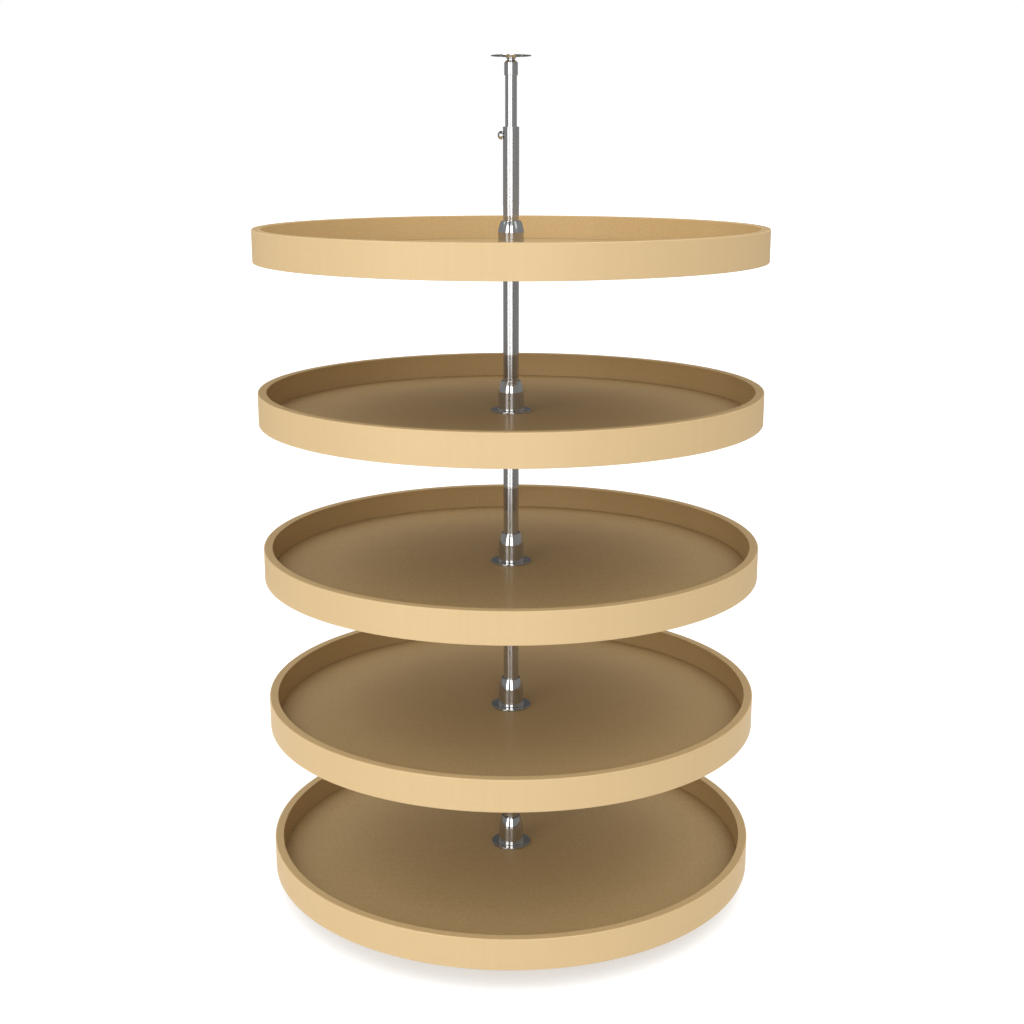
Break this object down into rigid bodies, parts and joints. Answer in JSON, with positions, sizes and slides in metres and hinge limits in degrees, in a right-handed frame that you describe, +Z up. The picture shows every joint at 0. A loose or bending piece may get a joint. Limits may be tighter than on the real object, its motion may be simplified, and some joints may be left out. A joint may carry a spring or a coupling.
{
  "type": "rotating pantry unit",
  "caption": "Round wooden trays with chrome hubs on a telescoping chrome pole between a floor plate and a top plate; each tray turns by itself and its height can be set.",
  "frame": {"origin": "centre of the base plate's underside, where it stands on the cabinet floor", "axes": "+Z up along the pole; -Y is the side that the picture shows; the lock screw points to -X"},
  "size_m": [0.8127, 0.8128, 1.3653],
  "materials": {
    "rim_wood": "satin clear lacquer on bent maple",
    "floor_wood": "satin clear lacquer on a maple panel",
    "chrome": "bright chrome plate",
    "zinc_steel": "bright zinc plate",
    "nylon": "natural moulded nylon",
    "brass": "turned brass",
    "black_steel": "black oxide steel"
  },
  "bodies": {
    "base": {"base_plate": "chrome", "base_stud": "chrome", "thrust_washer": "nylon"},
    "pole": {"pole_tube": "chrome", "foot_plug": "zinc_steel", "guide_sleeve": "zinc_steel"},
    "extension": {"extension_tube": "chrome", "end_cap": "chrome", "pivot_bush": "nylon"},
    "top_mount": {"top_plate": "chrome", "top_pivot_pin": "chrome"},
    "lock_screw": {"lock_screw": "chrome"},
    "lock_pad": {"lock_pad": "brass"},
    "tray_1": {"rim_1": "rim_wood", "tray_floor_1": "floor_wood", "hub_1": "chrome", "hub_bush_1": "nylon", "ring_nut_1": "zinc_steel"},
    "collar_1": {"collar_1": "zinc_steel", "collar_screw_1": "black_steel"},
    "tray_2": {"rim_2": "rim_wood", "tray_floor_2": "floor_wood", "hub_2": "chrome", "hub_bush_2": "nylon", "ring_nut_2": "zinc_steel"},
    "collar_2": {"collar_2": "zinc_steel", "collar_screw_2": "black_steel"},
    "tray_3": {"rim_3": "rim_wood", "tray_floor_3": "floor_wood", "hub_3": "chrome", "hub_bush_3": "nylon", "ring_nut_3": "zinc_steel"},
    "collar_3": {"collar_3": "zinc_steel", "collar_screw_3": "black_steel"},
    "tray_4": {"rim_4": "rim_wood", "tray_floor_4": "floor_wood", "hub_4": "chrome", "hub_bush_4": "nylon", "ring_nut_4": "zinc_steel"},
    "collar_4": {"collar_4": "zinc_steel", "collar_screw_4": "black_steel"},
    "tray_5": {"rim_5": "rim_wood", "tray_floor_5": "floor_wood", "hub_5": "chrome", "hub_bush_5": "nylon", "ring_nut_5": "zinc_steel"},
    "collar_5": {"collar_5": "zinc_steel", "collar_screw_5": "black_steel"}
  },
  "joints": [
    {"name": "pole_spin", "type": "hinge", "parent": "base", "child": "pole", "pos_m": [0, 0, 0], "axis": [0, 0, 1], "continuous": true},
    {"name": "telescope", "type": "slide", "parent": "pole", "child": "extension", "axis": [0, 0, 1], "range_m": [-0.075, 0.08]},
    {"name": "top_swivel", "type": "hinge", "parent": "extension", "child": "top_mount", "pos_m": [0, 0, 1.3643], "axis": [0, 0, 1], "continuous": true},
    {"name": "lock_pad_travel", "type": "slide", "parent": "pole", "child": "lock_pad", "axis": [-1, 0, 0], "range_m": [0, 0.0021]},
    {"name": "lock_screw_turn", "type": "hinge", "parent": "lock_pad", "child": "lock_screw", "pos_m": [0, 0, 1.2457], "axis": [-1, 0, 0], "range_deg": [0, 720]},
    {"name": "tray_1_height", "type": "slide", "parent": "pole", "child": "collar_1", "axis": [0, 0, 1], "range_m": [-0.003, 0.06]},
    {"name": "tray_1_spin", "type": "hinge", "parent": "collar_1", "child": "tray_1", "pos_m": [0, 0, 0.0458], "axis": [0, 0, 1], "continuous": true},
    {"name": "tray_2_height", "type": "slide", "parent": "pole", "child": "collar_2", "axis": [0, 0, 1], "range_m": [-0.06, 0.06]},
    {"name": "tray_2_spin", "type": "hinge", "parent": "collar_2", "child": "tray_2", "pos_m": [0, 0, 0.3004], "axis": [0, 0, 1], "continuous": true},
    {"name": "tray_3_height", "type": "slide", "parent": "pole", "child": "collar_3", "axis": [0, 0, 1], "range_m": [-0.06, 0.06]},
    {"name": "tray_3_spin", "type": "hinge", "parent": "collar_3", "child": "tray_3", "pos_m": [0, 0, 0.555], "axis": [0, 0, 1], "continuous": true},
    {"name": "tray_4_height", "type": "slide", "parent": "pole", "child": "collar_4", "axis": [0, 0, 1], "range_m": [-0.06, 0.06]},
    {"name": "tray_4_spin", "type": "hinge", "parent": "collar_4", "child": "tray_4", "pos_m": [0, 0, 0.8096], "axis": [0, 0, 1], "continuous": true},
    {"name": "tray_5_height", "type": "slide", "parent": "pole", "child": "collar_5", "axis": [0, 0, 1], "range_m": [-0.06, 0.06]},
    {"name": "tray_5_spin", "type": "hinge", "parent": "collar_5", "child": "tray_5", "pos_m": [0, 0, 1.0642], "axis": [0, 0, 1], "continuous": true}
  ],
  "couplings": [
    {"joint": "top_swivel", "follows": "pole_spin", "ratio": -1},
    {"joint": "lock_pad_travel", "follows": "lock_screw_turn", "m_per_rad": 0.00015915}
  ]
}
